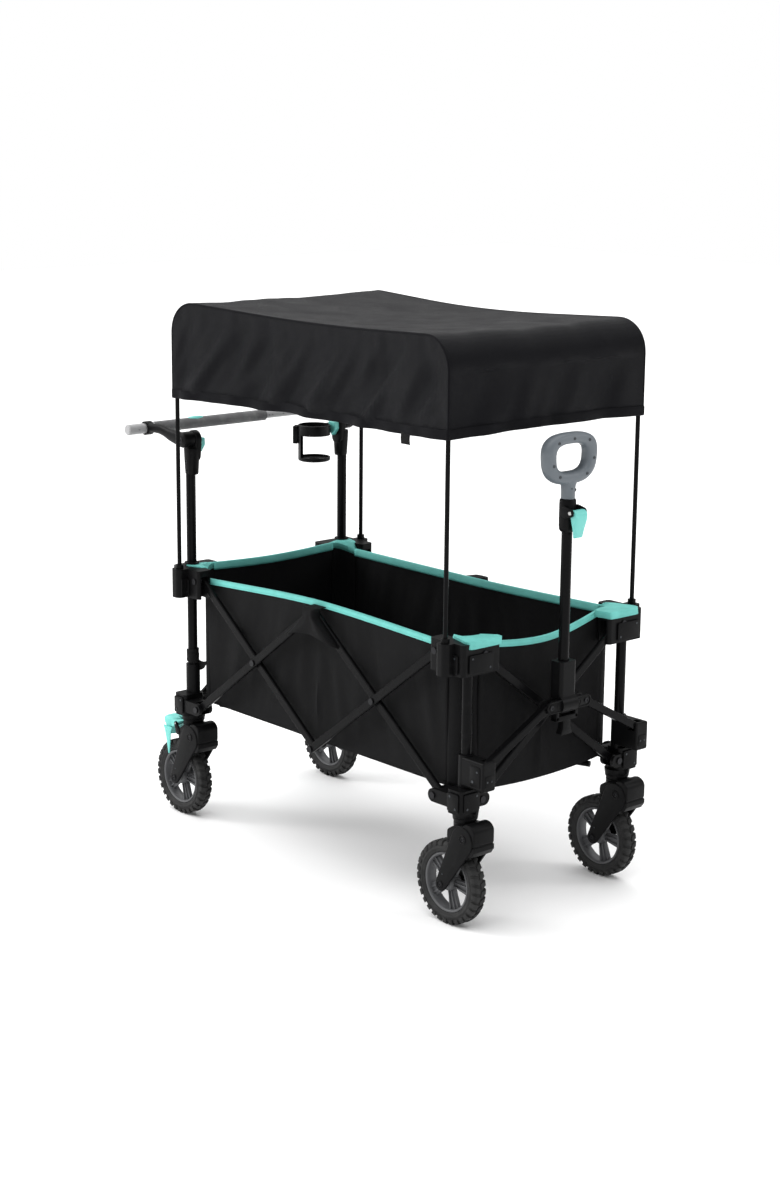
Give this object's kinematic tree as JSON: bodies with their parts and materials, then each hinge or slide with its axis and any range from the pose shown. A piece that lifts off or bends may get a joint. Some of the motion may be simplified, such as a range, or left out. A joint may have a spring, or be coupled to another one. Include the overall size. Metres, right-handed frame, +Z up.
{
  "type": "kids pull wagon",
  "caption": "Folding scissor-frame wagon with fabric basket, lift-off canopy, swivel casters, telescoping pull handle and tilting push handle.",
  "frame": {"origin": "on the floor, at the middle of the whole wagon's box", "axes": "+X forward, towards the pull handle; +Y to the wagon's left; +Z up"},
  "size_m": [1.1645, 0.592, 1.2048],
  "materials": {
    "black_plastic": "fine matte mould texture",
    "black_tube": "black powder coat, satin",
    "tyre_rubber": "matte rubber with chunky lugs",
    "wheel_rim": "dark grey moulded",
    "teal_plastic": "satin",
    "basket_fabric": "plain woven polyester",
    "canopy_fabric": "plain woven polyester",
    "teal_trim": "woven binding tape",
    "grip_plastic": "mid grey, fine texture",
    "foam_grip": "closed-cell foam sleeve",
    "grey_tube": "light grey, satin"
  },
  "bodies": {
    "rear_right_lower": {"rear_right_lower_bracket": "black_plastic", "floor_stays": "black_tube"},
    "rear_right_upper": {"rear_right_top_bracket": "black_plastic", "rear_right_post": "black_tube", "basket": "basket_fabric", "push_handle_right_hinge_housing": "black_plastic"},
    "rear_left_lower": {"rear_left_lower_bracket": "black_plastic"},
    "rear_left_upper": {"rear_left_top_bracket": "black_plastic", "rear_left_post": "black_tube", "push_handle_left_hinge_housing": "black_plastic", "cup_holder": "black_plastic"},
    "front_right_lower": {"front_right_lower_bracket": "black_plastic"},
    "front_right_upper": {"front_right_top_bracket": "black_plastic", "front_right_post": "black_tube"},
    "front_left_lower": {"front_left_lower_bracket": "black_plastic"},
    "front_left_upper": {"front_left_top_bracket": "black_plastic", "front_left_post": "black_tube"},
    "right_rear_link_rising": {"right_rear_link_rising": "black_tube"},
    "right_rear_link_falling": {"right_rear_link_falling": "black_tube"},
    "right_front_link_rising": {"right_front_link_rising": "black_tube"},
    "right_front_link_falling": {"right_front_link_falling": "black_tube"},
    "left_rear_link_rising": {"left_rear_link_rising": "black_tube"},
    "left_rear_link_falling": {"left_rear_link_falling": "black_tube"},
    "left_front_link_rising": {"left_front_link_rising": "black_tube"},
    "left_front_link_falling": {"left_front_link_falling": "black_tube"},
    "rear_end_link_rising": {"rear_end_link_rising": "black_tube"},
    "rear_end_link_falling": {"rear_end_link_falling": "black_tube"},
    "front_end_link_rising": {"front_end_link_rising": "black_tube"},
    "front_end_link_falling": {"front_end_link_falling": "black_tube"},
    "yoke_right_arm": {"yoke_right_arm": "black_tube"},
    "yoke_left_arm": {"yoke_left_arm": "black_tube"},
    "yoke_centre": {"yoke_centre": "black_plastic"},
    "pull_handle": {"pull_handle_socket": "black_plastic", "pull_handle_outer_tube": "black_tube", "pull_handle_lever_housing": "black_plastic"},
    "pull_handle_lever": {"pull_handle_lever": "teal_plastic"},
    "pull_handle_inner": {"pull_handle_inner_tube": "black_tube", "pull_handle_grip": "grip_plastic"},
    "push_handle_right_arm": {"push_handle_right_arm": "black_plastic", "handlebar_outer": "foam_grip"},
    "push_handle_left_arm": {"push_handle_left_arm": "black_plastic"},
    "handlebar_inner": {"handlebar_inner": "grey_tube"},
    "push_handle_right_button": {"push_handle_right_release_button": "teal_plastic"},
    "push_handle_left_button": {"push_handle_left_release_button": "teal_plastic"},
    "rear_right_caster": {"rear_right_caster_fork": "black_plastic"},
    "rear_right_wheel": {"rear_right_tyre": "tyre_rubber", "rear_right_rim": "wheel_rim"},
    "rear_right_brake": {"rear_right_brake_pedal": "teal_plastic"},
    "rear_left_caster": {"rear_left_caster_fork": "black_plastic"},
    "rear_left_wheel": {"rear_left_tyre": "tyre_rubber", "rear_left_rim": "wheel_rim"},
    "rear_left_brake": {"rear_left_brake_pedal": "teal_plastic"},
    "front_right_caster": {"front_right_caster_fork": "black_plastic"},
    "front_right_wheel": {"front_right_tyre": "tyre_rubber", "front_right_rim": "wheel_rim"},
    "front_left_caster": {"front_left_caster_fork": "black_plastic"},
    "front_left_wheel": {"front_left_tyre": "tyre_rubber", "front_left_rim": "wheel_rim"},
    "canopy": {"canopy_hoops": "black_tube", "canopy_fabric": "canopy_fabric"}
  },
  "joints": [
    {"name": "fold", "type": "hinge", "parent": "rear_right_lower", "child": "right_rear_link_rising", "pos_m": [-0.37045, -0.2404, 0.275], "axis": [0, -1, 0], "range_deg": [0, 36], "deforming": ["basket", "floor_stays"]},
    {"name": "right_front_link_falling_hinge", "type": "hinge", "parent": "right_rear_link_rising", "child": "right_front_link_falling", "pos_m": [0.02955, -0.2404, 0.575], "axis": [0, -1, 0], "range_deg": [-72, 0]},
    {"name": "right_rear_link_falling_hinge", "type": "hinge", "parent": "right_rear_link_rising", "child": "right_rear_link_falling", "pos_m": [-0.17045, -0.2404, 0.425], "axis": [0, -1, 0], "range_deg": [-72, 0]},
    {"name": "front_right_lower_hinge", "type": "hinge", "parent": "right_front_link_falling", "child": "front_right_lower", "pos_m": [0.42955, -0.2404, 0.275], "axis": [0, -1, 0], "range_deg": [0, 36]},
    {"name": "right_front_link_rising_hinge", "type": "hinge", "parent": "right_front_link_falling", "child": "right_front_link_rising", "pos_m": [0.22955, -0.2404, 0.425], "axis": [0, -1, 0], "range_deg": [0, 72]},
    {"name": "front_right_upper_hinge", "type": "hinge", "parent": "right_front_link_rising", "child": "front_right_upper", "pos_m": [0.42955, -0.2404, 0.575], "axis": [0, -1, 0], "range_deg": [-36, 0]},
    {"name": "rear_right_upper_hinge", "type": "hinge", "parent": "right_rear_link_falling", "child": "rear_right_upper", "pos_m": [-0.37045, -0.2404, 0.575], "axis": [0, -1, 0], "range_deg": [0, 36]},
    {"name": "left_rear_link_rising_hinge", "type": "hinge", "parent": "rear_left_lower", "child": "left_rear_link_rising", "pos_m": [-0.37045, 0.2404, 0.275], "axis": [0, -1, 0], "range_deg": [0, 36]},
    {"name": "left_front_link_falling_hinge", "type": "hinge", "parent": "left_rear_link_rising", "child": "left_front_link_falling", "pos_m": [0.02955, 0.2404, 0.575], "axis": [0, -1, 0], "range_deg": [-72, 0]},
    {"name": "left_rear_link_falling_hinge", "type": "hinge", "parent": "left_rear_link_rising", "child": "left_rear_link_falling", "pos_m": [-0.17045, 0.2404, 0.425], "axis": [0, -1, 0], "range_deg": [-72, 0]},
    {"name": "front_left_lower_hinge", "type": "hinge", "parent": "left_front_link_falling", "child": "front_left_lower", "pos_m": [0.42955, 0.2404, 0.275], "axis": [0, -1, 0], "range_deg": [0, 36]},
    {"name": "left_front_link_rising_hinge", "type": "hinge", "parent": "left_front_link_falling", "child": "left_front_link_rising", "pos_m": [0.22955, 0.2404, 0.425], "axis": [0, -1, 0], "range_deg": [0, 72]},
    {"name": "front_left_upper_hinge", "type": "hinge", "parent": "left_front_link_rising", "child": "front_left_upper", "pos_m": [0.42955, 0.2404, 0.575], "axis": [0, -1, 0], "range_deg": [-36, 0]},
    {"name": "rear_end_link_rising_hinge", "type": "hinge", "parent": "rear_right_lower", "child": "rear_end_link_rising", "pos_m": [-0.43575, -0.2, 0.275], "axis": [1, 0, 0], "range_deg": [0, 36]},
    {"name": "rear_end_link_falling_hinge", "type": "hinge", "parent": "rear_end_link_rising", "child": "rear_end_link_falling", "pos_m": [-0.43575, 0, 0.425], "axis": [1, 0, 0], "range_deg": [-72, 0]},
    {"name": "rear_left_lower_hinge", "type": "hinge", "parent": "rear_end_link_falling", "child": "rear_left_lower", "pos_m": [-0.43575, 0.2, 0.275], "axis": [1, 0, 0], "range_deg": [0, 36]},
    {"name": "rear_left_upper_hinge", "type": "hinge", "parent": "rear_end_link_rising", "child": "rear_left_upper", "pos_m": [-0.43575, 0.2, 0.575], "axis": [1, 0, 0], "range_deg": [-36, 0]},
    {"name": "front_end_link_rising_hinge", "type": "hinge", "parent": "front_right_lower", "child": "front_end_link_rising", "pos_m": [0.49485, -0.2, 0.275], "axis": [1, 0, 0], "range_deg": [0, 36]},
    {"name": "front_end_link_falling_hinge", "type": "hinge", "parent": "front_end_link_rising", "child": "front_end_link_falling", "pos_m": [0.49485, 0, 0.425], "axis": [1, 0, 0], "range_deg": [-72, 0]},
    {"name": "yoke_right_arm_hinge", "type": "hinge", "parent": "front_right_lower", "child": "yoke_right_arm", "pos_m": [0.54155, -0.212, 0.357], "axis": [1, 0, 0], "range_deg": [0, 50.4]},
    {"name": "yoke_centre_hinge", "type": "hinge", "parent": "yoke_right_arm", "child": "yoke_centre", "pos_m": [0.54155, -0.05, 0.445], "axis": [1, 0, 0], "range_deg": [-50.4, 0]},
    {"name": "yoke_left_arm_hinge", "type": "hinge", "parent": "yoke_centre", "child": "yoke_left_arm", "pos_m": [0.54155, 0.05, 0.445], "axis": [1, 0, 0], "range_deg": [-50.4, 0]},
    {"name": "pull_handle_tilt", "type": "hinge", "parent": "yoke_centre", "child": "pull_handle", "pos_m": [0.54155, 0, 0.445], "axis": [0, 1, 0], "range_deg": [0, 90]},
    {"name": "pull_handle_telescope", "type": "slide", "parent": "pull_handle", "child": "pull_handle_inner", "axis": [0, 0, 1], "range_m": [0, 0.25]},
    {"name": "pull_handle_lever_hinge", "type": "hinge", "parent": "pull_handle", "child": "pull_handle_lever", "pos_m": [0.56055, 0, 0.842], "axis": [0, -1, 0], "range_deg": [0, 22], "stiffness_Nm_per_rad": 0.6, "springref_deg": -8.59},
    {"name": "push_handle_tilt", "type": "hinge", "parent": "rear_right_upper", "child": "push_handle_right_arm", "pos_m": [-0.42885, -0.2225, 0.888], "axis": [0, 1, 0], "range_deg": [-65, 70]},
    {"name": "push_handle_left_arm_hinge", "type": "hinge", "parent": "rear_left_upper", "child": "push_handle_left_arm", "pos_m": [-0.42885, 0.2225, 0.888], "axis": [0, 1, 0], "range_deg": [-65, 70]},
    {"name": "handlebar_telescope", "type": "slide", "parent": "push_handle_right_arm", "child": "handlebar_inner", "axis": [0, 1, 0], "range_m": [-0.15, 0]},
    {"name": "push_handle_right_button_press", "type": "slide", "parent": "rear_right_upper", "child": "push_handle_right_button", "axis": [0, -1, 0], "range_m": [0, 0.004], "stiffness_N_per_m": 300, "springref_m": -0.004},
    {"name": "push_handle_left_button_press", "type": "slide", "parent": "rear_left_upper", "child": "push_handle_left_button", "axis": [0, 1, 0], "range_m": [0, 0.004], "stiffness_N_per_m": 300, "springref_m": -0.004},
    {"name": "rear_right_swivel", "type": "hinge", "parent": "rear_right_lower", "child": "rear_right_caster", "pos_m": [-0.42885, -0.2225, 0.23], "axis": [0, 0, 1], "continuous": true},
    {"name": "rear_right_wheel_spin", "type": "hinge", "parent": "rear_right_caster", "child": "rear_right_wheel", "pos_m": [-0.46735, -0.2225, 0.089], "axis": [0, 1, 0], "continuous": true},
    {"name": "rear_right_brake_press", "type": "hinge", "parent": "rear_right_caster", "child": "rear_right_brake", "pos_m": [-0.46085, -0.2225, 0.222], "axis": [0, -1, 0], "range_deg": [0, 9]},
    {"name": "rear_left_swivel", "type": "hinge", "parent": "rear_left_lower", "child": "rear_left_caster", "pos_m": [-0.42885, 0.2225, 0.23], "axis": [0, 0, 1], "continuous": true},
    {"name": "rear_left_wheel_spin", "type": "hinge", "parent": "rear_left_caster", "child": "rear_left_wheel", "pos_m": [-0.46735, 0.2225, 0.089], "axis": [0, 1, 0], "continuous": true},
    {"name": "rear_left_brake_press", "type": "hinge", "parent": "rear_left_caster", "child": "rear_left_brake", "pos_m": [-0.46085, 0.2225, 0.222], "axis": [0, -1, 0], "range_deg": [0, 9]},
    {"name": "front_right_swivel", "type": "hinge", "parent": "front_right_lower", "child": "front_right_caster", "pos_m": [0.48795, -0.2225, 0.23], "axis": [0, 0, 1], "continuous": true},
    {"name": "front_right_wheel_spin", "type": "hinge", "parent": "front_right_caster", "child": "front_right_wheel", "pos_m": [0.44945, -0.2225, 0.089], "axis": [0, 1, 0], "continuous": true},
    {"name": "front_left_swivel", "type": "hinge", "parent": "front_left_lower", "child": "front_left_caster", "pos_m": [0.48795, 0.2225, 0.23], "axis": [0, 0, 1], "continuous": true},
    {"name": "front_left_wheel_spin", "type": "hinge", "parent": "front_left_caster", "child": "front_left_wheel", "pos_m": [0.44945, 0.2225, 0.089], "axis": [0, 1, 0], "continuous": true},
    {"name": "canopy_lift_off", "type": "slide", "parent": "rear_right_upper", "child": "canopy", "axis": [0, 0, 1], "range_m": [0, 0.12]}
  ],
  "couplings": [
    {"joint": "right_front_link_falling_hinge", "follows": "fold", "ratio": -2},
    {"joint": "right_rear_link_falling_hinge", "follows": "fold", "ratio": -2},
    {"joint": "front_right_lower_hinge", "follows": "fold", "ratio": 1},
    {"joint": "right_front_link_rising_hinge", "follows": "fold", "ratio": 2},
    {"joint": "front_right_upper_hinge", "follows": "fold", "ratio": -1},
    {"joint": "rear_right_upper_hinge", "follows": "fold", "ratio": 1},
    {"joint": "left_rear_link_rising_hinge", "follows": "fold", "ratio": 1},
    {"joint": "left_front_link_falling_hinge", "follows": "fold", "ratio": -2},
    {"joint": "left_rear_link_falling_hinge", "follows": "fold", "ratio": -2},
    {"joint": "front_left_lower_hinge", "follows": "fold", "ratio": 1},
    {"joint": "left_front_link_rising_hinge", "follows": "fold", "ratio": 2},
    {"joint": "front_left_upper_hinge", "follows": "fold", "ratio": -1},
    {"joint": "rear_end_link_rising_hinge", "follows": "fold", "ratio": 1},
    {"joint": "rear_end_link_falling_hinge", "follows": "fold", "ratio": -2},
    {"joint": "rear_left_lower_hinge", "follows": "fold", "ratio": 1},
    {"joint": "rear_left_upper_hinge", "follows": "fold", "ratio": -1},
    {"joint": "front_end_link_rising_hinge", "follows": "fold", "ratio": 1},
    {"joint": "front_end_link_falling_hinge", "follows": "fold", "ratio": -2},
    {"joint": "yoke_right_arm_hinge", "follows": "fold", "ratio": 1.4},
    {"joint": "yoke_centre_hinge", "follows": "fold", "ratio": -1.4},
    {"joint": "yoke_left_arm_hinge", "follows": "fold", "ratio": -1.4},
    {"joint": "push_handle_left_arm_hinge", "follows": "push_handle_tilt", "ratio": 1},
    {"joint": "handlebar_telescope", "follows": "fold", "m_per_rad": -0.23873}
  ]
}
